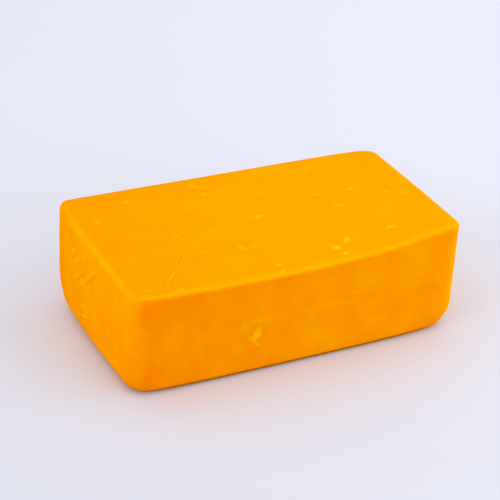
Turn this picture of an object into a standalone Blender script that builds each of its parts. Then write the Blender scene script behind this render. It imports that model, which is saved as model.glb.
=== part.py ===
"""A block of mild cheddar, cut square from a larger one and softened by handling.

The block starts as a cube that is cut into a fine grid. Every point of that grid is
then moved by a few rules: each of the twelve edges is rounded by its own radius, the
corners are lifted or leaned a little as in a block that sat under its own weight, the
top dips along the front edge, and the left end carries the soft creases of its wrapper.
The underside stays flat. Metres, +Z up, X along the length, the front at -Y.
"""

import math

import bmesh
import bpy
import numpy as np

LENGTH = 0.132
WIDTH = 0.075
HEIGHT = 0.0424

# Edge radii, named by the two sides that meet there.
EDGE_RADII = {
    ("left", "top"): 0.0034,
    ("right", "top"): 0.0028,
    ("front", "top"): 0.0019,
    ("back", "top"): 0.0030,
    ("left", "bottom"): 0.0078,
    ("right", "bottom"): 0.0112,
    ("front", "bottom"): 0.0023,
    ("back", "bottom"): 0.0147,
    ("left", "front"): 0.0078,
    ("right", "front"): 0.0071,
    ("left", "back"): 0.0038,
    ("right", "back"): 0.0091,
}
RADIUS_BLEND = 0.005  # how far from a corner the radii of its edges run into each other

# How the top corners sit off the plain box, as (along X, along Y, up).
TOP_CORNERS = {
    ("left", "front"): (0.0006, -0.0007, -0.0014),
    ("right", "front"): (0.0006, 0.0002, 0.0020),
    ("left", "back"): (0.0007, 0.0, 0.0010),
    ("right", "back"): (0.0001, -0.0005, -0.0015),
}
# How far the bottom corners slide along X.
FOOT_SHIFT = {
    ("left", "front"): -0.0005,
    ("right", "front"): -0.0007,
    ("left", "back"): -0.0012,
}

# The dip of the top along the front edge, and the cheese it pushes out below.
DIP_DEPTH = 0.0020
DIP_AT = 0.57  # share of the length at which it is deepest
DIP_FADE = 1.6  # how fast it fades towards the back
SAG_OUT = 0.0023
SAG_FADE = 1.5  # how fast it fades towards the foot
END_BELLY = 0.0012
FRONT_BELLY = 0.0002
BACK_BELLY = -0.0002

# A small jog in the front top edge near its right end: lower on its left, higher on its right.
JOG_AT = 0.1098
JOG_RISE = 0.0004
JOG_HALF = 0.0015  # half the length over which it rises
JOG_REACH = 0.016  # how far along the edge it fades
JOG_DEPTH = 0.009  # how far it reaches back over the top

# Small pushes that square up the right back corner of the top, each as the place
# (along X, along Y), how far it reaches, and the push (along X, along Y, up).
TOP_PUSHES = (
    ((0.1305, 0.0715), 0.0045, (0.0006, 0.0, 0.0001)),
    ((0.1235, 0.0750), 0.0050, (0.0, 0.0, -0.0002)),
)

# A shallow chip in the front face: lobes as (along X, up, half width, half height, depth).
CHIP_LOBES = (
    (0.0489, 0.0186, 0.0019, 0.0026, 0.0009),
    (0.0459, 0.0162, 0.0020, 0.0015, 0.0007),
    (0.0491, 0.0130, 0.0021, 0.0027, 0.0010),
)

# Soft creases down the left end: (from the front, half width, depth, lean towards the back).
CREASES = (
    (0.012, 0.0026, 0.0004, 0.08),
    (0.036, 0.0026, 0.0007, 0.42),
    (0.060, 0.0022, 0.0004, 0.10),
)
CREASE_WAVE = 0.011  # height of one wave of a crease
CREASE_SWAY = 0.0008
CREASE_FADE = 0.010  # how far from the top and the foot a crease dies out

# Grid lines: close together near the edges, then at an even step.
NEAR_EDGE = (0.0007, 0.0015, 0.0025, 0.0040, 0.0060, 0.0085, 0.0115, 0.0145)
LINE_STEP = 0.0060
CHIP_LINES_X = (0.0436, 0.0455, 0.0474, 0.0493, 0.0512)
CHIP_LINES_Z = (0.0102, 0.0121, 0.0140, 0.0159, 0.0178, 0.0197, 0.0216)
JOG_LINES_X = (0.1076, 0.1098, 0.1120)
LEAST_GAP = 0.0009  # two lines are never closer than this, away from an edge
TINY = 1e-9

CHEESE_COLOUR = (0.95, 0.36, 0.015, 1.0)
CHEESE_ROUGHNESS = 0.42


def clear_scene():
    for item in list(bpy.data.objects):
        bpy.data.objects.remove(item, do_unlink=True)


def grid_lines(side, extra=()):
    """Where the grid cuts one side of the block, without the two ends."""
    near = list(NEAR_EDGE) + [side - offset for offset in NEAR_EDGE]
    first, last = NEAR_EDGE[-1], side - NEAR_EDGE[-1]
    count = max(1, round((last - first) / LINE_STEP))
    middle = [first + (last - first) * i / count for i in range(1, count)]
    middle = [line for line in middle if all(abs(line - e) > LEAST_GAP for e in extra)]
    return sorted(near + middle + list(extra))


def cut_block():
    """The plain box from (0, 0, 0) to (LENGTH, WIDTH, HEIGHT), cut along the grid lines."""
    mesh = bmesh.new()
    bmesh.ops.create_cube(mesh, size=1.0)
    bmesh.ops.translate(mesh, verts=mesh.verts, vec=(0.5, 0.5, 0.5))
    bmesh.ops.scale(mesh, verts=mesh.verts, vec=(LENGTH, WIDTH, HEIGHT))
    lines = (
        grid_lines(LENGTH, CHIP_LINES_X + JOG_LINES_X),
        grid_lines(WIDTH),
        grid_lines(HEIGHT, CHIP_LINES_Z),
    )
    for axis, places in enumerate(lines):
        normal = [0.0, 0.0, 0.0]
        normal[axis] = 1.0
        for place in places:
            bmesh.ops.bisect_plane(
                mesh,
                geom=mesh.verts[:] + mesh.edges[:] + mesh.faces[:],
                plane_co=[part * place for part in normal],
                plane_no=normal,
            )
    return mesh


def distances(points):
    """How far each point lies in from each side of the plain box."""
    x, y, z = points.T
    return {
        "left": x,
        "right": LENGTH - x,
        "front": y,
        "back": WIDTH - y,
        "bottom": z,
        "top": HEIGHT - z,
    }


def insets(points):
    """The radius that each side rounds with at each point: its nearest edges weigh most."""
    inside = distances(points)
    found = {}
    for side in inside:
        total = np.zeros(len(points))
        weights = np.zeros(len(points))
        for pair, radius in EDGE_RADII.items():
            if side not in pair:
                continue
            reach = inside[pair[0]] ** 2 + inside[pair[1]] ** 2 + RADIUS_BLEND**2
            total += radius * radius / reach
            weights += radius / reach
        found[side] = total / weights
    return found


def rounded(points):
    """Points of the plain box moved onto the box with rounded edges."""
    inset = insets(points)
    low = np.stack([inset["left"], inset["front"], inset["bottom"]], axis=1)
    far = np.stack([inset["right"], inset["back"], inset["top"]], axis=1)
    core = np.clip(points, low, np.array([LENGTH, WIDTH, HEIGHT]) - far)
    radii = np.where(points < core, low, far)
    out = (points - core) / radii
    size = np.maximum(np.linalg.norm(out, axis=1, keepdims=True), TINY)
    return core + radii * out / size


def hump(share, peak):
    """0 at both ends of a side and 1 at the peak, with a smooth rise and fall."""
    power = math.log(0.5) / math.log(peak)
    return np.sin(math.pi * np.clip(share, 0.0, 1.0) ** power)


def corner_shares(along, across):
    """How much each corner of the plan counts at each point."""
    return {
        ("left", "front"): (1 - along) * (1 - across),
        ("right", "front"): along * (1 - across),
        ("left", "back"): (1 - along) * across,
        ("right", "back"): along * across,
    }


def jog(along_x, from_front):
    """How much the jog in the front top edge lifts or lowers a place on the top."""
    off = along_x - JOG_AT
    rise = JOG_RISE * np.tanh(off / JOG_HALF) * np.exp(-((off / JOG_REACH) ** 2))
    return rise * np.exp(-((from_front / JOG_DEPTH) ** 2))


def warped(points):
    """Corner lifts and leans, the dip along the front edge and the bellied faces."""
    along, across, up = np.clip(points / (LENGTH, WIDTH, HEIGHT), 0.0, 1.0).T
    shares = corner_shares(along, across)
    moved = points.copy()
    for corner, offset in TOP_CORNERS.items():
        moved += (shares[corner] * up)[:, None] * offset
    for corner, shift in FOOT_SHIFT.items():
        moved[:, 0] += shares[corner] * (1 - up) * shift
    dip = hump(along, DIP_AT)
    arch = np.sin(math.pi * along)
    moved[:, 2] -= up * DIP_DEPTH * dip * (1 - across) ** DIP_FADE
    moved[:, 2] += up * jog(points[:, 0], points[:, 1])
    moved[:, 1] -= (1 - across) * SAG_OUT * dip * up**SAG_FADE
    moved[:, 1] -= (1 - across) * FRONT_BELLY * arch
    moved[:, 1] += across * up * BACK_BELLY * arch
    moved[:, 0] -= (1 - along) * END_BELLY * np.sin(math.pi * across)
    for place, reach, push in TOP_PUSHES:
        off = np.linalg.norm(points[:, :2] - place, axis=1)
        moved += (np.exp(-((off / reach) ** 2)) * up)[:, None] * push
    return moved


def chip_depth(x, z):
    """How deep the chip in the front face is at a place on that face."""
    depth = np.zeros(len(x))
    for lobe_x, lobe_z, half_width, half_height, deep in CHIP_LOBES:
        reach = ((x - lobe_x) / half_width) ** 2 + ((z - lobe_z) / half_height) ** 2
        depth = np.maximum(depth, deep * np.clip(1.0 - reach, 0.0, 1.0) ** 0.5)
    return depth


def crease_depth(y, z):
    """How deep the wrapper's creases are at a place on the left end."""
    fade = np.clip(np.minimum(z, HEIGHT - z) / CREASE_FADE, 0.0, 1.0)
    depth = np.zeros(len(y))
    for place, half_width, deep, lean in CREASES:
        sway = CREASE_SWAY * np.sin(2 * math.pi * z / CREASE_WAVE)
        off = (y - place - lean * z - sway) / half_width
        depth += deep * np.exp(-(off**2))
    return depth * fade


def block_mesh():
    mesh = cut_block()
    plain = np.array([point.co for point in mesh.verts])
    shaped = warped(rounded(plain))
    on_front = plain[:, 1] < LEAST_GAP / 2
    shaped[on_front, 1] += chip_depth(plain[on_front, 0], plain[on_front, 2])
    on_left = plain[:, 0] < LEAST_GAP / 2
    shaped[on_left, 0] += crease_depth(plain[on_left, 1], plain[on_left, 2])
    # The middle of the plan comes to the origin, and the underside stays at height 0.
    low, high = shaped.min(axis=0), shaped.max(axis=0)
    shaped[:, :2] -= (low[:2] + high[:2]) / 2
    for point, place in zip(mesh.verts, shaped):
        point.co = place
    bmesh.ops.recalc_face_normals(mesh, faces=mesh.faces)
    for face in mesh.faces:
        face.smooth = True
    return mesh


def cheese_material():
    material = bpy.data.materials.new("cheddar")
    material.use_nodes = True
    shader = material.node_tree.nodes["Principled BSDF"]
    shader.inputs["Base Color"].default_value = CHEESE_COLOUR
    shader.inputs["Roughness"].default_value = CHEESE_ROUGHNESS
    shader.inputs["Metallic"].default_value = 0.0
    return material


def make_block(collection):
    mesh = block_mesh()
    data = bpy.data.meshes.new("cheese_block")
    mesh.to_mesh(data)
    mesh.free()
    data.materials.append(cheese_material())
    block = bpy.data.objects.new("cheese_block", data)
    collection.objects.link(block)
    return block


def main():
    clear_scene()
    collection = bpy.data.collections.new("mild_cheddar")
    bpy.context.scene.collection.children.link(collection)
    make_block(collection)


main()
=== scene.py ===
"""A block of mild cheddar, with its curd, worn rims, specks, chip, knife marks and creases, and painted
light and shade: a painted highlight on the rims, a painted glint on the specks, painted shade on the sides
and a painted shadow along the foot.

The fine block is made by the rules that shaped the plain one: a box whose edges are
rounded by a radius each, whose corners are lifted or leaned, and whose top dips along
the front edge. Its top left edge is bent a little more, and fine relief and small pieces
are laid on it. Metres, +Z up, -Y out of the long front face.
"""

import math
import random

import bpy
import numpy as np
from mathutils import Matrix, Vector, noise


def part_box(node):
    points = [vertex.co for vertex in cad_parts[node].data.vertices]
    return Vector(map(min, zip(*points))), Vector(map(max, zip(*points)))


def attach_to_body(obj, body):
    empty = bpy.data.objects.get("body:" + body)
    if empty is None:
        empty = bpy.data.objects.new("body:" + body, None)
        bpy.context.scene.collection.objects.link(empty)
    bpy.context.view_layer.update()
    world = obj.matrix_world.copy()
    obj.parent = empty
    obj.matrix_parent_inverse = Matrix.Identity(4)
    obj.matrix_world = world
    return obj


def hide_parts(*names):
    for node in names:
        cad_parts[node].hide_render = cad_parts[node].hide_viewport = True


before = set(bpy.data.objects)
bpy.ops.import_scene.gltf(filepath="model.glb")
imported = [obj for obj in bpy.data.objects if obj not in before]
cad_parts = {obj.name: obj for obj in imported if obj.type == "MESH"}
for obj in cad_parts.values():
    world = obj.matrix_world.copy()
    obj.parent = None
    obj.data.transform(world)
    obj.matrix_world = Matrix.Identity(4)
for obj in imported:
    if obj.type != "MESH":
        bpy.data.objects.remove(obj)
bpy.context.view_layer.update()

bl_info = {
    "name": "Mild Cheddar Block",
    "version": (1, 0, 0),
    "blender": (4, 5, 0),
    "location": "3D View > Sidebar > Cheddar",
    "description": "Builds a block of mild cheddar and the soft light it is seen in",
    "category": "Add Mesh",
}

BODY = "root"
BLOCK_NODE = "cheese_block"
MM = 0.001

# Edge radii in millimetres, named by the two sides that meet there.
EDGE_RADII = {
    ("left", "top"): 3.4,
    ("right", "top"): 2.8,
    ("front", "top"): 1.9,
    ("back", "top"): 3.0,
    ("left", "bottom"): 7.8,
    ("right", "bottom"): 11.2,
    ("front", "bottom"): 2.3,
    ("back", "bottom"): 14.7,
    ("left", "front"): 7.8,
    ("right", "front"): 7.1,
    ("left", "back"): 3.8,
    ("right", "back"): 9.1,
}
RADIUS_BLEND = 5.0  # how far round a corner the radii of its edges mix, in millimetres

# How the top corners sit off the plain box, in millimetres along X, along Y and up.
TOP_CORNERS = {
    ("left", "front"): (0.6, -0.7, -1.4),
    ("right", "front"): (0.6, 0.2, 2.0),
    ("left", "back"): (0.7, 0.0, 1.0),
    ("right", "back"): (0.1, -0.5, -1.5),
}
# How far the foot's corners sit off it along X, in millimetres.
FOOT_SHIFT = {
    ("left", "front"): -0.5,
    ("right", "front"): -0.7,
    ("left", "back"): -1.2,
}
DIP_AT = 0.57  # where the front edge dips most, as a share of the length
DIP_FADE = 1.6  # how fast the dip fades towards the back
SAG_OUT = 2.3  # how far the front edge sags out where it dips, in millimetres
SAG_FADE = 1.5  # how fast the sag fades downward
# How far the faces bulge in the middle, in millimetres.
END_BELLY = 1.2
FRONT_BELLY = 0.2
BACK_BELLY = -0.2
# A small jog in the front top edge near its right end: lower on its left, higher on its right.
JOG_AT = 109.8
JOG_RISE = 0.4
JOG_HALF = 1.5  # half the length over which it rises
JOG_REACH = 16.0  # how far along the edge it fades
JOG_DEPTH = 9.0  # how far it reaches back over the top
# Small pushes at the top, in millimetres: the place, how far it reaches, the push along X, along Y
# and up, and how fast it fades downward.
# The first two square up the right back corner, the others bend the left edge.
TOP_PUSHES = (
    ((130.5, 71.5), 4.5, (0.6, 0.0, 0.1), 1),
    ((123.5, 75.0), 5.0, (0.0, 0.0, -0.2), 1),
    ((0.0, 57.0), 8.0, (-0.45, 0.0, 0.0), 3),
    ((0.0, 28.0), 15.0, (0.65, 0.0, 0.0), 3),
)

# The chip in the front face, as lobes: along X, up, half width, half height, turn in degrees.
CHIP_LOBES = (
    (48.9, 17.9, 1.8, 2.7, 12.0),
    (45.9, 16.1, 1.0, 0.9, 0.0),
    (47.4, 15.5, 1.6, 1.3, 0.0),
    (48.8, 13.1, 0.8, 1.8, -26.0),
)
# Paler bruises low on the front face: along X, up, half width, half height.
FRONT_BRUISES = (
    (40.0, 13.8, 0.9, 1.5),
    (43.0, 12.7, 1.2, 1.6),
    (41.5, 11.2, 1.2, 0.5),
    (49.0, 23.6, 5.5, 1.3),
    (43.2, 22.4, 2.4, 2.6),
    (49.0, 24.3, 1.4, 0.4),
    (59.0, 18.8, 1.6, 0.4),
    (17.9, 19.8, 1.0, 0.6),
    (7.0, 10.1, 0.8, 0.5),
)

# Fine pale scratches on the front face, in millimetres: from (along X, up) to (along X, up),
# half width, height, and tone: pale above 0, deep below.
FRONT_SCRATCHES = (
    (86.1, 27.7, 88.6, 25.6, 0.50, 0.04, 0.3),
    (88.4, 27.8, 91.6, 26.9, 0.30, 0.04, 0.36),
    (91.7, 26.7, 91.9, 25.3, 0.35, 0.03, 0.24),
    (82.6, 26.3, 85.4, 27.0, 0.30, 0.03, 0.24),
    (79.3, 24.3, 88.2, 21.7, 0.40, 0.03, 0.24),
    (71.2, 28.2, 73.4, 26.3, 0.40, 0.03, 0.24),
    (73.3, 25.2, 74.2, 22.7, 0.40, 0.04, 0.3),
    (77.6, 24.3, 77.8, 23.3, 0.50, 0.03, 0.24),
    (80.0, 20.5, 81.9, 19.4, 0.40, 0.04, 0.3),
    (92.9, 31.1, 94.5, 29.6, 0.50, 0.04, 0.3),
    (97.2, 23.4, 99.5, 23.1, 0.50, 0.03, 0.24),
    (97.4, 28.4, 99.0, 27.3, 0.40, 0.03, 0.24),
    (74.7, 36.4, 79.3, 34.7, 0.30, 0.03, 0.24),
    (90.8, 17.7, 91.4, 17.3, 0.60, 0.03, 0.24),
    (74.1, 19.9, 76.1, 20.1, 0.30, 0.03, 0.24),
)

# Creases that the wrapper pressed into the left end, as above but from (behind the front, up). Their tone
# is a painted highlight on the ridges and painted shade in the grooves.
END_CREASES = (
    (56.4, 38.3, 55.9, 33.1, 0.35, -0.12, -0.3),
    (55.9, 31.7, 51.9, 34.0, 0.65, 0.16, 0.4),
    (54.2, 30.7, 51.9, 31.9, 0.40, 0.08, 0.3),
    (53.2, 28.4, 48.3, 31.7, 0.65, 0.16, 0.4),
    (52.8, 27.3, 48.7, 29.9, 0.35, -0.12, -0.4),
    (44.3, 35.2, 43.4, 32.5, 0.40, 0.12, 0.5),
    (41.2, 36.2, 40.8, 31.7, 0.35, -0.12, -0.4),
    (43.5, 30.4, 43.6, 27.4, 0.45, -0.16, -0.6),
    (42.4, 33.8, 42.3, 28.8, 0.30, 0.08, 0.3),
    (53.5, 20.2, 48.2, 24.1, 0.40, -0.14, -0.5),
    (48.2, 24.1, 44.4, 27.8, 0.45, -0.18, -0.7),
    (52.3, 22.0, 46.9, 26.0, 0.40, 0.14, 0.4),
    (46.1, 24.0, 42.6, 26.7, 0.40, 0.14, 0.5),
    (46.1, 24.0, 44.4, 23.7, 0.40, 0.12, 0.4),
    (44.4, 23.7, 41.5, 25.9, 0.40, 0.12, 0.4),
    (42.2, 26.4, 33.5, 34.9, 0.45, 0.16, 0.25),
    (42.1, 24.8, 36.4, 29.8, 0.50, -0.18, -0.6),
    (36.4, 29.8, 32.5, 34.2, 0.45, -0.18, -0.7),
    (46.3, 21.9, 43.9, 23.0, 0.40, -0.12, -0.5),
    (46.6, 20.1, 46.3, 18.6, 0.40, -0.10, -0.4),
    (46.1, 17.4, 45.6, 15.9, 0.45, -0.14, -0.6),
    (45.5, 14.6, 39.9, 15.6, 0.45, 0.18, 0.5),
    (45.8, 15.5, 40.8, 16.6, 0.35, -0.10, -0.3),
    (45.3, 11.8, 42.5, 12.6, 0.45, -0.16, -0.6),
    (41.7, 13.4, 39.2, 14.5, 0.40, 0.10, 0.4),
    (46.2, 9.8, 44.3, 9.4, 0.45, -0.16, -0.6),
    (44.3, 9.4, 41.3, 10.5, 0.40, -0.14, -0.6),
    (43.8, 10.5, 39.1, 12.9, 0.45, 0.16, 0.5),
)

# Clear specks on the top, bright with a painted glint, in millimetres: along X, behind the front, length,
# width, turn, brightness.
TOP_SPECKS = (
    (23.7, 63.5, 1.3, 1.9, 20, 0.7),
    (8.6, 54.3, 1.2, 1.8, 10, 0.7),
    (51.6, 67.2, 2.2, 1.2, -30, 0.65),
    (53.2, 59.9, 2.0, 1.0, 10, 0.7),
    (72.6, 54.2, 1.8, 2.4, 30, 0.45),
    (65.7, 38.8, 2.3, 1.5, 0, 0.85),
    (62.8, 39.0, 1.9, 0.8, 0, 0.55),
    (98.0, 65.2, 2.1, 1.7, 15, 0.5),
    (91.3, 45.6, 2.2, 1.5, -15, 0.5),
    (106.6, 43.8, 2.2, 1.2, 5, 0.7),
    (98.0, 34.5, 2.6, 1.5, -5, 0.6),
    (95.6, 35.2, 1.6, 1.1, 20, 0.55),
    (117.8, 36.2, 2.1, 1.7, 40, 0.6),
    (124.0, 32.6, 1.5, 1.9, 15, 0.75),
    (106.6, 12.8, 2.6, 1.3, -25, 1.1),
    (88.0, 12.2, 1.8, 1.9, 0, 1.1),
    (82.4, 9.0, 1.6, 1.9, 30, 1.1),
    (80.9, 8.4, 1.0, 1.0, 0, 0.9),
    (83.5, 4.3, 1.1, 1.5, 0, 1.3),
    (57.8, 6.3, 2.1, 1.6, -20, 0.9),
    (57.8, 2.8, 2.2, 1.5, 20, 0.55),
    (50.3, 20.9, 1.7, 2.4, 25, 0.6),
    (55.1, 20.2, 2.3, 1.1, 0, 0.6),
    (35.7, 26.9, 1.5, 0.8, -35, 0.35),
    (36.8, 23.0, 1.4, 0.9, -35, 0.55),
    (38.3, 21.6, 1.3, 0.9, -35, 0.5),
    (32.2, 36.4, 1.8, 1.5, 0, 0.45),
    (35.2, 43.4, 1.5, 1.7, 0, 0.5),
    (40.9, 41.8, 2.3, 1.0, 10, 0.4),
    (43.6, 34.6, 1.7, 1.3, -10, 0.35),
    (7.6, 6.0, 2.3, 1.5, -30, 0.55),
    (18.4, 2.4, 2.6, 1.4, 15, 0.33),
)

# Light knife scores on the top, as runs of (along X, behind the front, brightness).
KNIFE_SCORES = (
    (
        (30.6, 23.9, 0.1),
        (29.4, 22.4, 0.9),
        (27.5, 20.0, 0.9),
        (26.1, 18.4, 0.6),
        (23.3, 15.5, 0.3),
        (21.4, 13.8, 1.0),
        (18.2, 10.2, 1.0),
        (16.1, 8.1, 0.6),
        (14.1, 6.0, 0.5),
        (12.5, 4.5, 0.1),
    ),
    (
        (27.9, 23.1, 0.3),
        (26.5, 21.1, 0.35),
        (24.2, 18.6, 0.15),
        (20.5, 14.6, 0.3),
        (18.3, 12.2, 0.15),
        (15.2, 9.1, 0.3),
        (13.3, 6.7, 0.3),
    ),
)
# Width and height of a score's burr, in millimetres.
SCORE_WIDTH = 0.9
SCORE_RISE = 0.09
SCORE_WANDER = 22.0  # how quickly the burr's width changes along it
SCORE_BEADS = 75.0  # how quickly its brightness does

# The stretches along X, along Y and up that the mesh divides as finely as its edges, in millimetres.
BUSY_STRETCHES = ((44.0, 51.0), (34.0, 57.0), (8.0, 37.0))

# Worn rims of the top, pale from wear and from a painted highlight: side, strength, reach, and how far onto
# the top the rim lies, in millimetres.
TOP_RIMS = (
    ("front", 0.62, 1.7, 0.7),
    ("left", 0.7, 1.8, 0.0),
    ("right", 0.6, 1.6, 0.0),
    ("back", 0.3, 1.4, 0.0),
)

# Painted contact shadow along the foot: dark up to the first height, then fading over the second. In
# millimetres.
FOOT_DARK = 0.9
FOOT_FADE = 0.75

# Painted shade of each side before its own ramps, by how the light falls on it: 0 is the darkest, 1 the
# palest top.
PAINTED_SIDE_SHADES = {"top": 0.51, "front": 0.16, "left": 0.21, "right": 0.46, "back": 0.24}

# Clouds of the curd: size of a lump in metres, strength, roughness and distortion.
CURD_CLOUDS = (
    (0.013, 1.25, 0.5, 0.0),
    (0.0048, 0.85, 0.6, 0.5),
    (0.0019, 0.25, 0.6, 0.0),
)
CLOUD_SWING = 0.5  # how far the clouds move the shade
GLOSS_SPREAD = 0.07  # how far the roughness differs from place to place

SPECK_CORE = 0.42  # glow of a speck's core
SPECK_CORE_REACH = 0.34  # how far the core reaches, as a share of the patch
SPECK_CLOUD = 0.31  # glow of the faint cloud round the core
SPECK_GRAIN = 0.0006  # size of the grain in the glow, in metres
SPECK_SPREAD = 2.9  # size of the patch that holds a speck and its cloud, in sizes of the speck

# Thin patches float just over the skin, and their rims dip into it. In metres.
PATCH_GAP = 0.00003
PATCH_TUCK = 0.00006

# The soft lights: the setting that holds the power, the size and the place, in metres.
LIGHTS = (
    ("overhead", 1.2, (-0.1, 0.1, 1.3)),
    ("front", 1.1, (1.0, -1.3, 0.5)),
    ("left", 1.7, (-2.4, -0.3, 0.8)),
    ("right", 0.8, (0.95, -0.15, 0.4)),
)
FLOOR_SIZE = 8.0
BLACK_LEVEL = (0.0, 0.0, 0.04)  # cuts the faintest blue, which the photo's cheese doesn't have

# The photograph's camera. Distances are in millimetres, from the middle of the plain box.
VIEW_AZIMUTH = -25.778
VIEW_ELEVATION = 30.374
VIEW_ROLL = 2.0
VIEW_DISTANCE = 823.3
VIEW_SIDE = -2.665
VIEW_RISE = 5.114
FOCAL_PIXELS = 2200.0
FRAME_PIXELS = 500.0
SENSOR_MM = 36.0


class CheddarBlockSettings(bpy.types.PropertyGroup):
    """Sizes of the block and of its relief."""

    length: bpy.props.FloatProperty(
        name="Length", description="Plain length of the block", default=0.132, min=0.05, unit="LENGTH"
    )
    width: bpy.props.FloatProperty(
        name="Width", description="Plain width of the block", default=0.075, min=0.03, unit="LENGTH"
    )
    height: bpy.props.FloatProperty(
        name="Height", description="Plain height of the block", default=0.0424, min=0.02, unit="LENGTH"
    )
    dip: bpy.props.FloatProperty(
        name="Dip", description="How far the top dips along the front edge", default=0.002, unit="LENGTH"
    )
    fine_step: bpy.props.FloatProperty(
        name="Fine Step", description="Mesh step where there is relief", default=0.00038, unit="LENGTH"
    )
    plain_step: bpy.props.FloatProperty(
        name="Plain Step", description="Mesh step on plain stretches", default=0.0012, unit="LENGTH"
    )
    curd_relief: bpy.props.FloatProperty(
        name="Curd Relief", description="Height of the soft lumps", default=0.00007, unit="LENGTH"
    )
    chip_depth: bpy.props.FloatProperty(
        name="Chip Depth", description="Depth of the chip in the front face", default=0.0007, unit="LENGTH"
    )
    seed: bpy.props.IntProperty(name="Seed", description="Seed of the scattered specks", default=11)


class CheddarSpeckSettings(bpy.types.PropertyGroup):
    """Sizes and numbers of the specks."""

    count: bpy.props.IntProperty(
        name="Faint Specks", description="Faint specks scattered over all sides", default=150, min=0
    )
    smallest: bpy.props.FloatProperty(
        name="Smallest", description="Smallest scattered speck", default=0.0007, unit="LENGTH"
    )
    largest: bpy.props.FloatProperty(
        name="Largest", description="Largest scattered speck", default=0.003, unit="LENGTH"
    )
    rise: bpy.props.FloatProperty(
        name="Rise", description="How far a speck stands out of the face", default=0.0001, unit="LENGTH"
    )


class CheddarFinishSettings(bpy.types.PropertyGroup):
    """Colours and gloss of the cheese."""

    cheese: bpy.props.FloatVectorProperty(
        name="Cheese",
        description="Colour of the lit skin on top",
        subtype="COLOR",
        default=(1.0, 0.43, 0.028),
        min=0,
        max=1,
    )
    # Colour of the denser curd, and of the painted shade on the sides turned from the light.
    deep_and_shaded: bpy.props.FloatVectorProperty(
        name="Deep",
        description="Colour of the denser curd",
        subtype="COLOR",
        default=(0.935, 0.245, 0.004),
        min=0,
        max=1,
    )
    # Colour of wear, tears, bruises and scratches, and also of the painted highlight on the rims and on the
    # crease ridges.
    pale: bpy.props.FloatVectorProperty(
        name="Pale",
        description="Colour of worn and torn cheese",
        subtype="COLOR",
        default=(1.0, 0.53, 0.028),
        min=0,
        max=1,
    )
    # Painted shadow: the colour of the contact shadow painted along the foot.
    foot: bpy.props.FloatVectorProperty(
        name="Foot",
        description="Colour of the damp foot",
        subtype="COLOR",
        default=(0.33, 0.05, 0.0),
        min=0,
        max=1,
    )
    # Painted glint: the colour at the bright cores of the clear specks on the top, also used by the faint
    # specks.
    speck: bpy.props.FloatVectorProperty(
        name="Speck",
        description="Colour of the specks",
        subtype="COLOR",
        default=(1.0, 0.64, 0.095),
        min=0,
        max=1,
    )
    roughness: bpy.props.FloatProperty(
        name="Roughness",
        description="Roughness of the waxy skin",
        subtype="FACTOR",
        default=0.42,
        min=0,
        max=1,
    )


class CheddarStageSettings(bpy.types.PropertyGroup):
    """The floor, the light and the camera."""

    floor: bpy.props.FloatVectorProperty(
        name="Floor",
        description="Colour of the floor",
        subtype="COLOR",
        default=(0.80, 0.825, 0.945),
        min=0,
        max=1,
    )
    sky: bpy.props.FloatProperty(name="Sky", description="Strength of the even light", default=0.87, min=0)
    overhead: bpy.props.FloatProperty(
        name="Overhead", description="Power of the overhead light", subtype="POWER", default=0.6, min=0
    )
    front: bpy.props.FloatProperty(
        name="Front", description="Power of the low light in front", subtype="POWER", default=4.9, min=0
    )
    left: bpy.props.FloatProperty(
        name="Left", description="Power of the light at the left end", subtype="POWER", default=16.0, min=0
    )
    right: bpy.props.FloatProperty(
        name="Right", description="Power of the light at the right end", subtype="POWER", default=1.6, min=0
    )


def hump(share, peak):
    """0 at both ends of a side and 1 at the peak, with a smooth rise and fall."""
    power = math.log(0.5) / math.log(peak)
    return np.sin(math.pi * np.clip(share, 0.0, 1.0) ** power)


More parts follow.
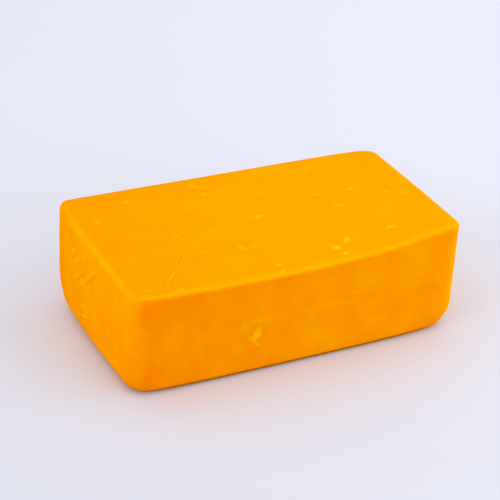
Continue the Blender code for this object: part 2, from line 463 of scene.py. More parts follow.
class BlockShape:
    """The shape of the block: plain box points go in, points on the real surface come out."""

    def __init__(self, settings):
        self.size = np.array([settings.length, settings.width, settings.height])
        self.dip = settings.dip
        self.relief = settings.curd_relief
        self.chip = settings.chip_depth
        self.low, self.target, self.stretch = np.zeros(3), np.zeros(3), np.ones(3)

    def inside(self, points):
        """How far each point lies in from each side of the plain box."""
        near, far = points.T, (self.size - points).T
        return {
            "left": near[0],
            "right": far[0],
            "front": near[1],
            "back": far[1],
            "bottom": near[2],
            "top": far[2],
        }

    def insets(self, points):
        """The radius that each side rounds with at each point: its nearest edges weigh most."""
        inside = self.inside(points)
        found = {}
        for side in inside:
            total = np.zeros(len(points))
            weights = np.zeros(len(points))
            for pair, radius in EDGE_RADII.items():
                if side not in pair:
                    continue
                radius *= MM
                reach = inside[pair[0]] ** 2 + inside[pair[1]] ** 2 + (RADIUS_BLEND * MM) ** 2
                total += radius * radius / reach
                weights += radius / reach
            found[side] = total / weights
        return found

    def rounded(self, points):
        """Points on the box with rounded edges, and the way each one faces."""
        inset = self.insets(points)
        low = np.stack([inset["left"], inset["front"], inset["bottom"]], axis=1)
        far = np.stack([inset["right"], inset["back"], inset["top"]], axis=1)
        core = np.clip(points, low, self.size - far)
        radii = np.where(points < core, low, far)
        out = (points - core) / radii
        facing = out / np.maximum(np.linalg.norm(out, axis=1, keepdims=True), 1e-9)
        return core + radii * facing, facing

    def warped(self, points):
        """Corner lifts and leans, the dip along the front edge and the bellied faces."""
        along, across, up = np.clip(points / self.size, 0.0, 1.0).T
        shares = {
            ("left", "front"): (1 - along) * (1 - across),
            ("right", "front"): along * (1 - across),
            ("left", "back"): (1 - along) * across,
            ("right", "back"): along * across,
        }
        moved = points.copy()
        for corner, offset in TOP_CORNERS.items():
            moved += (shares[corner] * up)[:, None] * np.array(offset) * MM
        for corner, shift in FOOT_SHIFT.items():
            moved[:, 0] += shares[corner] * (1 - up) * shift * MM
        dip = hump(along, DIP_AT)
        arch = np.sin(math.pi * along)
        moved[:, 2] -= up * self.dip * dip * (1 - across) ** DIP_FADE
        moved[:, 1] -= (1 - across) * SAG_OUT * MM * dip * up**SAG_FADE
        moved[:, 1] -= (1 - across) * FRONT_BELLY * MM * arch
        moved[:, 1] += across * up * BACK_BELLY * MM * arch
        moved[:, 0] -= (1 - along) * END_BELLY * MM * np.sin(math.pi * across)
        for place, reach, push, fade in TOP_PUSHES:
            off = np.linalg.norm(points[:, :2] / MM - place, axis=1)
            moved += (np.exp(-((off / reach) ** 2)) * up**fade)[:, None] * np.array(push) * MM
        off = points[:, 0] / MM - JOG_AT
        rise = JOG_RISE * MM * np.tanh(off / JOG_HALF) * np.exp(-((off / JOG_REACH) ** 2))
        moved[:, 2] += up * rise * np.exp(-((points[:, 1] / (JOG_DEPTH * MM)) ** 2))
        return moved

    def fit(self, points, box):
        """Remembers the move and stretch that bring these points into the node's box."""
        self.low = points.min(axis=0)
        self.target, highest = np.array(box[0]), np.array(box[1])
        self.stretch = (highest - self.target) / (points.max(axis=0) - self.low)

    def fitted(self, points):
        """The points moved and stretched into the node's box."""
        return self.target + (points - self.low) * self.stretch

    def middle(self):
        """Where the middle of the plain box comes to lie."""
        return Vector(self.fitted(self.size / 2))


def segment_distance(across, up, start_across, start_up, end_across, end_up):
    """Distance from each point to a segment, and how far along it, from 0 to 1."""
    run, climb = end_across - start_across, end_up - start_up
    share = ((across - start_across) * run + (up - start_up) * climb) / (run**2 + climb**2)
    share = np.clip(share, 0.0, 1.0)
    return np.hypot(across - start_across - share * run, up - start_up - share * climb), share


def stroke_relief(across, up, strokes, side, uneven):
    """Height in metres of a side's creases or scratches, and their tone."""
    height, tone = np.zeros(len(up)), np.zeros(len(up))
    for start_across, start_up, end_across, end_up, half, rise, shift in strokes:
        distance, share = segment_distance(across, up, start_across, start_up, end_across, end_up)
        cover = np.exp(-((distance / half) ** 2)) * (0.6 + 0.4 * np.sin(math.pi * share)) * uneven
        height += rise * cover
        tone += shift * cover
    return height * side * MM, tone * side


def lobe_reach(x, z, lobe):
    """0 at the middle of a lobe and 1 at its rim."""
    place_x, place_z, half_width, half_height, turn = lobe
    angle = math.radians(turn)
    across = (x - place_x) * math.cos(angle) - (z - place_z) * math.sin(angle)
    upward = (x - place_x) * math.sin(angle) + (z - place_z) * math.cos(angle)
    return np.hypot(across / half_width, upward / half_height)


def chip_cover(points, front, ragged, widened=1.12):
    """1 inside the chip and 0 outside, with a ragged rim. Points are in millimetres."""
    nearest = np.full(len(points), 9.0)
    for lobe in CHIP_LOBES:
        nearest = np.minimum(nearest, lobe_reach(points[:, 0], points[:, 2], lobe))
    return np.clip((widened - nearest + 0.25 * ragged) / (0.25 * widened), 0.0, 1.0) * front


def bruise_cover(points, front):
    """How pale each bruise on the front face makes each point. Points are in millimetres."""
    cover = np.zeros(len(points))
    for x, z, half_width, half_height in FRONT_BRUISES:
        reach = lobe_reach(points[:, 0], points[:, 2], (x, z, half_width, half_height, 0.0))
        cover = np.maximum(cover, np.exp(-(reach**2)))
    return cover * front


def cloud(points, grain, shift=0.0):
    """Smooth noise from -1 to 1 at each point. grain is the size of one lump, in metres."""
    scaled = points / grain + shift
    return np.array([noise.noise(Vector(place)) for place in scaled])


def side_lines(side, fine, plain, busy, edge=0.0035, easing=0.004):
    """Where the mesh is divided along one side: finely near its ends and in the busy stretch."""
    places = np.linspace(0.0, side, 2000)
    step = np.full(len(places), plain)
    for start, end in ((0.0, edge), (busy[0] * MM, busy[1] * MM), (side - edge, side)):
        away = np.maximum(np.maximum(start - places, places - end), 0.0)
        step = np.minimum(step, fine + (plain - fine) * np.clip(away / easing, 0.0, 1.0))
    travelled = np.concatenate([[0.0], np.cumsum(np.diff(places) / step[1:])])
    count = int(math.ceil(travelled[-1]))
    return np.interp(np.linspace(0.0, travelled[-1], count + 1), travelled, places)


def box_skin(lines):
    """The skin of a box divided along the given lines, as shared points and four-sided faces."""
    counts = [len(line) for line in lines]
    corners, quads, total = [], [], 0
    for axis in range(3):
        one, two = [a for a in range(3) if a != axis]
        for end in (0, counts[axis] - 1):
            first, second = np.meshgrid(np.arange(counts[one]), np.arange(counts[two]), indexing="ij")
            index = np.empty(first.shape + (3,), dtype=int)
            index[..., axis], index[..., one], index[..., two] = end, first, second
            number = np.arange(first.size).reshape(first.shape) + total
            quad = np.stack([number[:-1, :-1], number[1:, :-1], number[1:, 1:], number[:-1, 1:]], axis=-1)
            outward = (end > 0) == (axis != 1)
            quads.append(quad.reshape(-1, 4)[:, :: 1 if outward else -1])
            corners.append(index.reshape(-1, 3))
            total += first.size
    unique, inverse = np.unique(np.concatenate(corners), axis=0, return_inverse=True)
    points = np.stack([lines[axis][unique[:, axis]] for axis in range(3)], axis=1)
    return points, inverse.reshape(-1)[np.concatenate(quads)]


def mesh_object(name, points, faces, material):
    """A smooth mesh piece with one material."""
    mesh = bpy.data.meshes.new(name)
    mesh.from_pydata(points.tolist(), [], [tuple(int(corner) for corner in face) for face in faces])
    mesh.validate()
    mesh.update()
    mesh.shade_smooth()
    mesh.materials.append(material)
    piece = bpy.data.objects.new(name, mesh)
    bpy.context.scene.collection.objects.link(piece)
    return piece


def paint(piece, name, values):
    """Stores one number for each point of the mesh, for the material to read."""
    layer = piece.data.attributes.new(name=name, type="FLOAT", domain="POINT")
    layer.data.foreach_set("value", np.asarray(values, dtype=np.float32))


class NodeBench:
    """Short calls that add and wire the nodes of one material."""

    def __init__(self, name):
        self.material = bpy.data.materials.new(name)
        self.material.use_nodes = True
        self.tree = self.material.node_tree
        self.shader = self.tree.nodes["Principled BSDF"]

    def add(self, kind, **values):
        """A new node with the given settings."""
        node = self.tree.nodes.new(kind)
        for key, value in values.items():
            setattr(node, key, value)
        return node

    def wire(self, source, target):
        self.tree.links.new(source, target)

    def set(self, socket, value):
        """Gives one of the shader's own sockets a value."""
        self.shader.inputs[socket].default_value = value

    def attribute(self, name):
        """A number that was painted on the mesh."""
        return self.add("ShaderNodeAttribute", attribute_name=name).outputs["Fac"]

    def noise(self, grain, detail=3.0, roughness=0.5, distortion=0.0):
        """Cloudy noise whose lumps have the given size in metres."""
        place = self.add("ShaderNodeTexCoord").outputs["Object"]
        node = self.add("ShaderNodeTexNoise")
        node.inputs["Scale"].default_value = 1.0 / grain
        node.inputs["Detail"].default_value = detail
        node.inputs["Roughness"].default_value = roughness
        node.inputs["Distortion"].default_value = distortion
        self.wire(place, node.inputs["Vector"])
        return node.outputs["Fac"]

    def ranged(self, source, low, high, to_low, to_high):
        """The source with one range eased into another."""
        node = self.add("ShaderNodeMapRange", interpolation_type="SMOOTHSTEP")
        for key, value in (("From Min", low), ("From Max", high), ("To Min", to_low), ("To Max", to_high)):
            node.inputs[key].default_value = value
        self.wire(source, node.inputs["Value"])
        return node.outputs["Result"]

    def maths(self, operation, *values):
        """The outcome of a sum whose values are numbers or sockets."""
        node = self.add("ShaderNodeMath", operation=operation)
        for socket, value in zip(node.inputs, values):
            if isinstance(value, (int, float)):
                socket.default_value = value
            else:
                self.wire(value, socket)
        return node.outputs[0]

    def mixed(self, factor, one, two):
        """One colour where the factor is 0, the other where it is 1."""
        node = self.add("ShaderNodeMix", data_type="RGBA")
        self.wire(factor, node.inputs["Factor"])
        for socket, value in ((node.inputs[6], one), (node.inputs[7], two)):
            if isinstance(value, bpy.types.NodeSocket):
                self.wire(value, socket)
            else:
                socket.default_value = (*value, 1.0)
        return node.outputs[2]

    def bump(self, height, distance, strength):
        """Tilts the light on the skin as if the height stood out of it."""
        node = self.add("ShaderNodeBump")
        node.inputs["Strength"].default_value = strength
        node.inputs["Distance"].default_value = distance
        self.wire(height, node.inputs["Height"])
        self.wire(node.outputs["Normal"], self.shader.inputs["Normal"])


def cheddar_material(finish, name, weight):
    """The waxy, faintly translucent cheese. weight is how much light wanders through it."""
    bench = NodeBench(name)
    bench.set("Subsurface Weight", weight)
    bench.set("Subsurface Radius", (1.0, 0.35, 0.05))
    bench.set("Subsurface Scale", 0.0025)
    bench.set("IOR", 1.45)
    bench.set("Specular IOR Level", 0.01)
    bench.set("Specular Tint", (1.0, 0.75, 0.2, 1.0))
    # Clouds of denser and looser curd, stronger on the cut front than on the top. Noise swings
    # round a half, so half of the strengths is taken off first.
    clouds = -sum(strength for _, strength, _, _ in CURD_CLOUDS) / 2
    for grain, strength, roughness, distortion in CURD_CLOUDS:
        lumps = bench.noise(grain, detail=2.0, roughness=roughness, distortion=distortion)
        clouds = bench.maths("MULTIPLY_ADD", lumps, strength, clouds)
    # The painted light and shade of the sides, swung by the curd clouds, mixes the deep and the lit cheese.
    swing = bench.maths("MULTIPLY", clouds, bench.attribute("mottle"))
    shade = bench.maths("MULTIPLY_ADD", swing, CLOUD_SWING, bench.attribute("shade"))
    body = bench.mixed(shade, tuple(finish.deep_and_shaded), tuple(finish.cheese))
    # Tiny flecks, then the worn rims with their painted highlight, the chip and the bruises, the painted
    # contact shadow along the foot, and the specks with their painted glint.
    fleck = bench.ranged(bench.noise(0.0011, detail=2.0), 0.66, 0.78, to_low=0.0, to_high=0.3)
    body = bench.mixed(fleck, body, tuple(finish.pale))
    body = bench.mixed(bench.attribute("pale"), body, tuple(finish.pale))
    body = bench.mixed(bench.attribute("foot"), body, tuple(finish.foot))
    body = bench.mixed(bench.attribute("bright"), body, tuple(finish.speck))
    bench.wire(body, bench.shader.inputs["Base Color"])
    # The gloss is patchy, and a fine grain catches the light.
    least, most = finish.roughness - GLOSS_SPREAD, finish.roughness + GLOSS_SPREAD
    gloss = bench.ranged(bench.noise(0.0026), 0.3, 0.7, to_low=least, to_high=most)
    bench.wire(gloss, bench.shader.inputs["Roughness"])
    grain = bench.maths("MULTIPLY_ADD", bench.noise(0.0016), 1.4, bench.noise(0.00045, roughness=0.6))
    bench.bump(grain, distance=0.00008, strength=0.6)
    return bench.material


def floor_material(stage):
    """The plain pale floor, with painted shade towards the left."""
    bench = NodeBench("pale_floor")
    bench.set("Roughness", 0.7)
    bench.set("Specular IOR Level", 0.2)
    place = bench.add("ShaderNodeSeparateXYZ")
    bench.wire(bench.add("ShaderNodeTexCoord").outputs["Object"], place.inputs[0])
    # Faint broad clouds, and painted shade that makes it a little darker towards the left.
    clouds = bench.ranged(bench.noise(0.35, detail=2.0), 0.3, 0.7, to_low=0.0, to_high=0.25)
    painted_leftward_shade = bench.ranged(place.outputs["X"], -0.2, 0.2, to_low=0.75, to_high=0.0)
    tone = bench.maths("ADD", clouds, painted_leftward_shade)
    darker = tuple(0.9 * value for value in stage.floor)
    bench.wire(bench.mixed(tone, tuple(stage.floor), darker), bench.shader.inputs["Base Color"])
    return bench.material


def attach(piece, *replaced):
    """The piece rides on the block's body and stands for the named nodes."""
    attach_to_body(piece, BODY)
    if replaced:
        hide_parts(*replaced)


def shaped_block(settings):
    """The shape, fitted into the node's box, with its plain points and faces."""
    shape = BlockShape(settings)
    fine, plain_step = settings.fine_step, settings.plain_step
    lines = [side_lines(side, fine, plain_step, busy) for side, busy in zip(shape.size, BUSY_STRETCHES)]
    plain, faces = box_skin(lines)
    shape.fit(shape.warped(shape.rounded(plain)[0]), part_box(BLOCK_NODE))
    return shape, plain, faces


def ramp(value, start, end):
    """0 up to the start and 1 from the end on, smooth between."""
    share = np.clip((value - start) / (end - start), 0.0, 1.0)
    return share * share * (3 - 2 * share)


def painted_side_shade(shape, plain, facing):
    """Painted light and shade: how light the cheese is made on each side and round its edges, by how the
    light falls: 0 for the darkest, on the front, and 1 for the palest, on the top.
    """
    along, _, up = (plain / shape.size).T
    inside = {side: distance / MM for side, distance in shape.inside(plain).items()}
    # Painted light and shade: the top is palest right of its middle and duller towards the back.
    top = PAINTED_SIDE_SHADES["top"] + 0.25 * along + 0.12 * np.sin(math.pi * along)
    top -= 0.10 * ramp(inside["back"], 18.0, 3.0)
    # Painted shade and highlight: the front is darkest at its left and under the rim, and has a painted
    # highlight round its right edge.
    front = PAINTED_SIDE_SHADES["front"] + 0.16 * ramp(along, 0.1, 0.6)
    front += 0.04 * np.sin(math.pi * np.clip(up, 0, 1))
    front -= 0.12 * ramp(inside["top"], 8.0, 2.0) * ramp(along, 0.75, 0.45)
    front -= 0.12 * ramp(inside["left"], 13.0, 9.0)
    front += 0.46 * ramp(inside["right"], 7.0, 0.0)
    # Painted shade: the left end is duller towards its foot and its back edge.
    left = PAINTED_SIDE_SHADES["left"] + 0.26 * up
    left -= 0.2 * ramp(inside["back"], 15.0, 7.0) + 0.14 * ramp(inside["bottom"], 7.0, 3.0)
    left -= 0.1 * ramp(inside["back"], 5.0, 1.0)
    back = PAINTED_SIDE_SHADES["back"] + 0.1 * along
    right = PAINTED_SIDE_SHADES["right"] + 0.08 * up
    # Each side gives way to the next one round the edges.
    at_left = ramp(-facing[:, 0], 0.12, 0.8)
    at_right = ramp(facing[:, 0], 0.84, 1.0)
    behind = ramp(facing[:, 1], 0.0, 0.6)
    lying = ramp(facing[:, 2], 0.35, 0.75)
    side = left * at_left + (1 - at_left) * (front * (1 - behind) + back * behind)
    side = side * (1 - at_right) + right * at_right
    return side * (1 - lying) + top * lying


def rim_wear_and_highlight(points, inside):
    """How pale the rims of the top are at each point, from wear and from a painted highlight."""
    wear_and_highlight = np.zeros(len(points))
    for side, strength, reach, onto_top in TOP_RIMS:
        if side == "left":
            # Weaker towards its front and back corners.
            strength = strength - 0.3 * ramp(inside["front"] / MM, 18.0, 6.0)
            strength = strength - 0.5 * ramp(inside["back"] / MM, 28.0, 3.0)
        near = np.minimum(np.abs(inside[side] - inside["top"] - onto_top * MM), 0.02) / (reach * MM)
        off = np.minimum(inside[side], inside["top"]) / (reach * MM)
        wear_and_highlight = np.maximum(wear_and_highlight, strength * np.exp(-(near**2) - off**2))
    return wear_and_highlight * (0.85 + 0.35 * cloud(points, 0.004, 5.0))


def painted_foot_shadow(points, facing):
    """How dark the painted contact shadow along the foot is at each point. The flat underside is left out.
    """
    above = np.maximum(points[:, 2] - FOOT_DARK * MM, 0.0) / (FOOT_FADE * MM)
    return np.exp(-(above**2)) * ramp(facing[:, 2], -0.97, -0.8)


def crumpled_skin(points, across, up, left):
    """Fine crumples round the creases of the left end, from -1 to 1."""
    window = ramp(across, 36.0, 42.0) * ramp(across, 60.0, 54.0)
    window *= ramp(up, 6.0, 11.0) * ramp(up, 39.0, 34.0)
    return cloud(points, 0.0013, 21.0) * left * window


def block_relief(shape, plain, points, facing):
    """Height of the fine relief at each point, and what the material needs to know there."""
    tiny = MM / 100
    inside = shape.inside(plain)
    in_mm = plain / MM
    across_x, across_y, up = in_mm.T
    on = {side: np.clip(1 - distance / tiny, 0, 1) for side, distance in inside.items()}
    # Soft lumps all over but the underside, fainter on the top.
    lumps = cloud(points, 0.0065) + 0.5 * cloud(points, 0.0027, 7.0)
    ragged = cloud(points, 0.0009, 3.0)
    mottle = 0.46 + 0.54 * np.clip(1.4 * (1 - np.abs(facing[:, 2])), 0, 1)
    resting = np.clip(-facing[:, 2], 0, 1)
    height = shape.relief * lumps * (1 - resting) * (0.5 + 0.5 * mottle)
    height += 0.24 * shape.relief * ragged * (1 - resting)
    # Creases and crumples of the left end, scratches of the front, each with its tone. On the creases the
    # tone is a painted highlight on the ridges and painted shade in the grooves, and the crumples are paler
    # where they stand higher and darker where lower.
    uneven = np.clip(0.95 + 1.1 * ragged, 0, 1.6)
    creases, crease_light_and_shade = stroke_relief(across_y, up, END_CREASES, on["left"], uneven)
    scratches, front_tone = stroke_relief(across_x, up, FRONT_SCRATCHES, on["front"], uneven)
    crumple = crumpled_skin(points, across_y, up, on["left"])
    tone = crease_light_and_shade + front_tone + 0.35 * crumple
    height += creases + scratches + 0.00005 * crumple
    # The chip, with a painted shadow round it.
    chip = chip_cover(in_mm, on["front"], ragged)
    wide = chip_cover(in_mm, on["front"], ragged, 1.75)
    height -= chip * shape.chip * (0.75 + 0.5 * cloud(points, 0.0016, 9.0))
    bruise = bruise_cover(in_mm, on["front"]) * (0.8 + 0.6 * ragged)
    # Pale from wear on the rims, the chip, the bruises and the scratches, with a painted highlight on the
    # rims, the crease ridges and the higher crumples.
    pale = 0.75 * rim_wear_and_highlight(points, inside) + 0.65 * chip + 0.3 * bruise + np.clip(tone, 0, 1)
    # Faint upright bands on the front half of the left end.
    bands = cloud(points * (1.0, 1.0, 0.2), 0.0038, 31.0) * on["left"] * ramp(across_y, 38.0, 30.0)
    # Painted light and shade of the sides, painted shade in the crease grooves and round the chip, and the
    # faint upright bands.
    shade = painted_side_shade(shape, plain, facing) + 0.7 * np.minimum(tone, 0)
    shade += 0.1 * bands - 0.12 * wide * (1 - chip)
    # Painted contact shadow along the foot.
    foot = painted_foot_shadow(points, facing)
    return height, {"pale": np.clip(pale, 0, 1), "mottle": mottle, "shade": shade, "foot": foot}


def laid(shape, plain, lift):
    """Points on the finished skin, raised by the given lift in metres, and what to paint there."""
    plain = np.clip(plain, 0.0, shape.size)
    points, facing = shape.rounded(plain)
    height, painted = block_relief(shape, plain, points, facing)
    placed = shape.fitted(shape.warped(points) + facing * (height + lift)[:, None])
    lowest, highest = (np.array(corner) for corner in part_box(BLOCK_NODE))
    return np.clip(placed, lowest, highest), painted


class OBJECT_OT_cheddar_block(bpy.types.Operator):
    """Make the block with its curd, rims, chip and creases"""

    bl_idname = "object.cheddar_block"
    bl_label = "Cheddar Block"

    def execute(self, context):
        shape, plain, faces = shaped_block(context.scene.cheddar_block)
        placed, painted = laid(shape, plain, lift=0.0)
        if not np.isfinite(placed).all():
            raise RuntimeError("a point of the block could not be worked out")
        material = cheddar_material(context.scene.cheddar_finish, "cheddar_cut", 0.25)
        piece = mesh_object("cheddar_block", placed, faces, material)
        for name, values in painted.items():
            paint(piece, name, values)
        attach(piece, BLOCK_NODE)
        return {"FINISHED"}


def on_side(axis, level, one, two, place_one, place_two):
    """Plain points on one side of the block."""
    plain = np.empty((len(place_one), 3))
    plain[:, axis], plain[:, one], plain[:, two] = level, place_one, place_two
    return plain


class PatchSheet:
    """Collects thin patches that follow the skin into one mesh."""

    def __init__(self, shape, seed, rings=7, segments=18):
        self.shape = shape
        self.draw = random.Random(seed)
        self.rings, self.segments = rings, segments
        self.plain, self.lift, self.bright, self.faces, self.total = [], [], [], [], 0

    def keep(self, plain, lift, bright, faces):
        """Adds one patch: its plain points, their lift and brightness, and its faces."""
        self.plain.append(plain)
        self.lift.append(lift)
        self.bright.append(bright)
        self.faces += [tuple(self.total + corner for corner in face) for face in faces]
        self.total += len(plain)

    def speck(self, side, middle, length, width, turn, rise, bright):
        """An uneven speck on one side: bright in the middle and faint at its rim."""
        (one, two), (axis, level) = side
        shift = self.draw.uniform(0, 90)
        radius, angle = [0.0], [0.0]
        for ring in range(1, self.rings + 1):
            for part in range(self.segments):
                radius.append(ring / self.rings)
                angle.append(2 * math.pi * part / self.segments)
        radius, angle = np.array(radius), np.array(angle)
        rough = [noise.noise(Vector((math.cos(a) * 1.4, math.sin(a) * 1.4, shift))) for a in angle]
        reach = radius * (1 + 0.55 * np.array(rough))
        lean = math.radians(turn)
        far, wide = reach * np.cos(angle) * length / 2, reach * np.sin(angle) * width / 2
        first = middle[0] + far * math.cos(lean) - wide * math.sin(lean)
        second = middle[1] + far * math.sin(lean) + wide * math.cos(lean)
        spots = zip(first / SPECK_GRAIN, second / SPECK_GRAIN)
        grain = np.array([noise.noise(Vector((x, y, shift))) for x, y in spots])
        glow = SPECK_CORE * np.exp(-((radius / SPECK_CORE_REACH) ** 2)) * (1 + 0.5 * grain)
        glow += SPECK_CLOUD * (1 - radius) * (1 + grain)
        glow *= np.clip((1 - radius) * 4, 0, 1)
        lift = rise * np.exp(-((radius / 0.4) ** 2)) + PATCH_GAP
        lift[radius > 0.99] = -PATCH_TUCK
        faces = []
        for part in range(self.segments):
            after = (part + 1) % self.segments
            faces.append((0, 1 + part, 1 + after))
            for ring in range(self.rings - 1):
                near, away = 1 + ring * self.segments, 1 + (ring + 1) * self.segments
                faces.append((near + part, away + part, away + after, near + after))
        self.keep(on_side(axis, level, one, two, first, second), lift, np.clip(bright * glow, 0, 1), faces)

    def score(self, stations, width, rise, steps=90, ribs=7):
        """A fine burr along a run of stations on the top: (along X, behind the front, brightness)."""
        stations = np.array(stations)
        walked = np.concatenate([[0.0], np.cumsum(np.hypot(*np.diff(stations[:, :2], axis=0).T))])
        share = np.linspace(0.0, 1.0, steps + 1)
        x, y, glow = (np.interp(share * walked[-1], walked, column) for column in stations.T)
        lead = stations[-1, :2] - stations[0, :2]
        lead /= np.linalg.norm(lead)
        start_x, start_y = stations[0, :2]
        wander = [noise.noise(Vector((place * SCORE_WANDER, start_x, 0.0))) for place in share]
        uneven = 1 + 0.5 * np.array(wander)
        beads = [noise.noise(Vector((place * SCORE_BEADS, 3.0, start_y))) for place in share]
        beads = 0.6 + 0.9 * np.array(beads)
        half = width / 2 * uneven
        plain, lift, bright = [], [], []
        for rib in np.linspace(-1.0, 1.0, ribs):
            first = (x * MM) - lead[1] * half * rib
            second = (y * MM) + lead[0] * half * rib
            plain.append(on_side(2, self.shape.size[2], 0, 1, first, second))
            edge = abs(rib) > 0.99
            ridge = rise * (1 - rib**2) * uneven + PATCH_GAP
            lift.append(np.full(steps + 1, -PATCH_TUCK) if edge else ridge)
            bright.append(glow * beads * (0.0 if edge else math.exp(-((rib / 0.5) ** 2))))
        row = steps + 1
        faces = [
            (rib * row + step, rib * row + step + 1, (rib + 1) * row + step + 1, (rib + 1) * row + step)
            for rib in range(ribs - 1)
            for step in range(steps)
        ]
        lift = np.concatenate(lift)
        ends = np.tile((share < 1e-6) | (share > 1 - 1e-6), ribs)
        lift[ends] = -PATCH_TUCK
        self.keep(np.concatenate(plain), lift, np.clip(np.concatenate(bright), 0, 1), faces)

    def object(self, name, material):
        """Lays all the patches on the skin as one piece."""
        points, painted = laid(self.shape, np.concatenate(self.plain), np.concatenate(self.lift))
        piece = mesh_object(name, points, self.faces, material)
        face_outward(piece, self.shape.middle())
        for key, values in painted.items():
            paint(piece, key, values)
        paint(piece, "bright", np.concatenate(self.bright))
        return piece


def face_outward(piece, middle):
    """Turns every face of a thin piece so that it looks away from the middle of the block."""
    for face in piece.data.polygons:
        if face.normal.dot(face.center - middle) < 0:
            face.flip()
    piece.data.update()


def block_sides(size):
    """The six sides: the two axes that run along each, then its own axis and where it lies."""
    return {
        "top": ((0, 1), (2, size[2])),
        "front": ((0, 2), (1, 0.0)),
        "bottom": ((0, 1), (2, 0.0)),
        "back": ((0, 2), (1, size[1])),
        "left": ((1, 2), (0, 0.0)),
        "right": ((1, 2), (0, size[0])),
    }


class OBJECT_OT_cheddar_specks(bpy.types.Operator):
    """Lay the clear specks of the top and the faint ones all round"""

    bl_idname = "object.cheddar_specks"
    bl_label = "Cheddar Specks"

    def execute(self, context):
        settings, specks = context.scene.cheddar_block, context.scene.cheddar_specks
        shape = shaped_block(settings)[0]
        sides = block_sides(shape.size)
        material = cheddar_material(context.scene.cheddar_finish, "cheddar_speck", 0.0)
        clear = PatchSheet(shape, settings.seed)
        # The clear specks of the top, bright with a painted glint.
        for x, y, length, width, turn, bright in TOP_SPECKS:
            length, width = SPECK_SPREAD * length * MM, SPECK_SPREAD * width * MM
            clear.speck(sides["top"], (x * MM, y * MM), length, width, turn, specks.rise, bright)
        attach(clear.object("top_specks", material))
        faint = PatchSheet(shape, settings.seed + 1, rings=4, segments=12)
        draw = faint.draw
        names = list(sides)
        areas = [shape.size[sides[name][0][0]] * shape.size[sides[name][0][1]] for name in names]
        for _ in range(specks.count):
            side = sides[draw.choices(names, weights=areas)[0]]
            one, two = side[0]
            first = shape.size[one] * draw.uniform(0.05, 0.95)
            second = shape.size[two] * draw.uniform(0.08, 0.92)
            length = draw.uniform(specks.smallest, specks.largest)
            width = length * draw.uniform(0.5, 1.0)
            turn, bright = draw.uniform(0, 180), draw.uniform(0.1, 0.45)
            faint.speck(side, (first, second), length, width, turn, specks.rise / 2, bright)
        attach(faint.object("faint_specks", material))
        return {"FINISHED"}


class OBJECT_OT_cheddar_scores(bpy.types.Operator):
    """Raise the two fine burrs that a knife left on the top"""

    bl_idname = "object.cheddar_scores"
    bl_label = "Cheddar Knife Scores"

    def execute(self, context):
        settings = context.scene.cheddar_block
        shape = shaped_block(settings)[0]
        material = cheddar_material(context.scene.cheddar_finish, "cheddar_score", 0.0)
        sheet = PatchSheet(shape, settings.seed + 2)
        for run in KNIFE_SCORES:
            sheet.score(run, SCORE_WIDTH * MM, SCORE_RISE * MM)
        attach(sheet.object("knife_scores", material))
        return {"FINISHED"}


def soft_light(name, power, size, place):
    """A square white light that faces the middle of the floor."""
    data = bpy.data.lights.new(name, "AREA")
    data.energy = power
    data.shape = "SQUARE"
    data.size = size
    light = bpy.data.objects.new(name, data)
    light.location = place
    light.rotation_euler = (-Vector(place)).to_track_quat("-Z", "Y").to_euler()
    bpy.context.scene.collection.objects.link(light)


def photo_camera(scene, middle):
    """The camera as it stood for the photograph, round the middle of the plain box."""
    azimuth, elevation, roll = map(math.radians, (VIEW_AZIMUTH, VIEW_ELEVATION, VIEW_ROLL))
    back = Vector(
        (
            math.sin(azimuth) * math.cos(elevation),
            -math.cos(azimuth) * math.cos(elevation),
            math.sin(elevation),
        )
    )
    level = Vector((math.cos(azimuth), math.sin(azimuth), 0.0))
    raised = back.cross(level)
    right = math.cos(roll) * level + math.sin(roll) * raised
    up = math.cos(roll) * raised - math.sin(roll) * level
    place = middle + (back * VIEW_DISTANCE + right * VIEW_SIDE + up * VIEW_RISE) * MM
    data = bpy.data.cameras.new("photo_camera")
    data.sensor_width = SENSOR_MM
    data.lens = SENSOR_MM * FOCAL_PIXELS / FRAME_PIXELS
    data.clip_end = 20.0
    camera = bpy.data.objects.new("photo_camera", data)
    camera.matrix_world = Matrix.Translation(place) @ Matrix((right, up, back)).transposed().to_4x4()
    scene.collection.objects.link(camera)
    scene.camera = camera


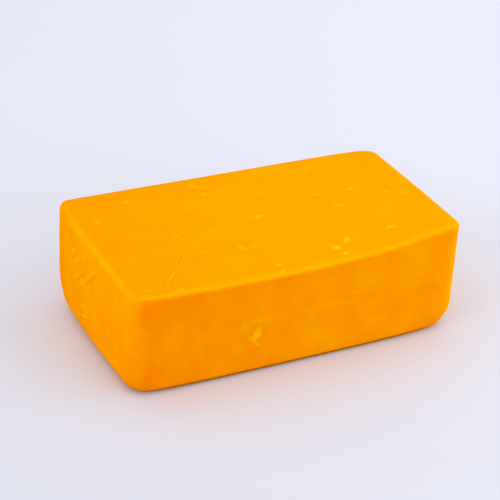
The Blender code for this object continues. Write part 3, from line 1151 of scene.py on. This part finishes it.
class SCENE_OT_cheddar_stage(bpy.types.Operator):
    """Lay the floor and set the light, the sky and the camera"""

    bl_idname = "scene.cheddar_stage"
    bl_label = "Cheddar Stage"

    def execute(self, context):
        scene, stage = context.scene, context.scene.cheddar_stage
        bpy.ops.mesh.primitive_plane_add(size=FLOOR_SIZE, location=(0.0, 0.0, 0.0))
        floor = context.object
        floor.name = "floor"
        floor.data.materials.append(floor_material(stage))
        world = bpy.data.worlds.new("soft_sky")
        world.use_nodes = True
        sky = world.node_tree.nodes["Background"]
        sky.inputs["Color"].default_value = (1.0, 1.0, 1.0, 1.0)
        sky.inputs["Strength"].default_value = stage.sky
        scene.world = world
        for setting, size, place in LIGHTS:
            soft_light(setting + "_light", getattr(stage, setting), size, place)
        photo_camera(scene, shaped_block(scene.cheddar_block)[0].middle())
        scene.view_settings.view_transform = "Standard"
        scene.view_settings.use_curve_mapping = True
        scene.view_settings.curve_mapping.black_level = BLACK_LEVEL
        scene.view_settings.curve_mapping.update()
        return {"FINISHED"}


class VIEW3D_PT_cheddar(bpy.types.Panel):
    """Buttons and values of the cheddar block"""

    bl_label = "Cheddar"
    bl_space_type = "VIEW_3D"
    bl_region_type = "UI"
    bl_category = "Cheddar"

    def draw(self, context):
        for operator in OPERATORS:
            self.layout.operator(operator.bl_idname)
        for name in SETTINGS:
            group = getattr(context.scene, name)
            box = self.layout.box()
            for key in type(group).__annotations__:
                box.prop(group, key)


OPERATORS = (
    OBJECT_OT_cheddar_block,
    OBJECT_OT_cheddar_specks,
    OBJECT_OT_cheddar_scores,
    SCENE_OT_cheddar_stage,
)
SETTINGS = {
    "cheddar_block": CheddarBlockSettings,
    "cheddar_specks": CheddarSpeckSettings,
    "cheddar_finish": CheddarFinishSettings,
    "cheddar_stage": CheddarStageSettings,
}


def register():
    for group in (*SETTINGS.values(), *OPERATORS, VIEW3D_PT_cheddar):
        bpy.utils.register_class(group)
    for name, group in SETTINGS.items():
        setattr(bpy.types.Scene, name, bpy.props.PointerProperty(type=group))


def unregister():
    for name in SETTINGS:
        delattr(bpy.types.Scene, name)
    for group in (VIEW3D_PT_cheddar, *reversed(OPERATORS), *SETTINGS.values()):
        bpy.utils.unregister_class(group)


def main():
    register()
    bpy.ops.object.cheddar_block()
    bpy.ops.object.cheddar_specks()
    bpy.ops.object.cheddar_scores()
    bpy.ops.scene.cheddar_stage()


if __name__ == "__main__":
    main()
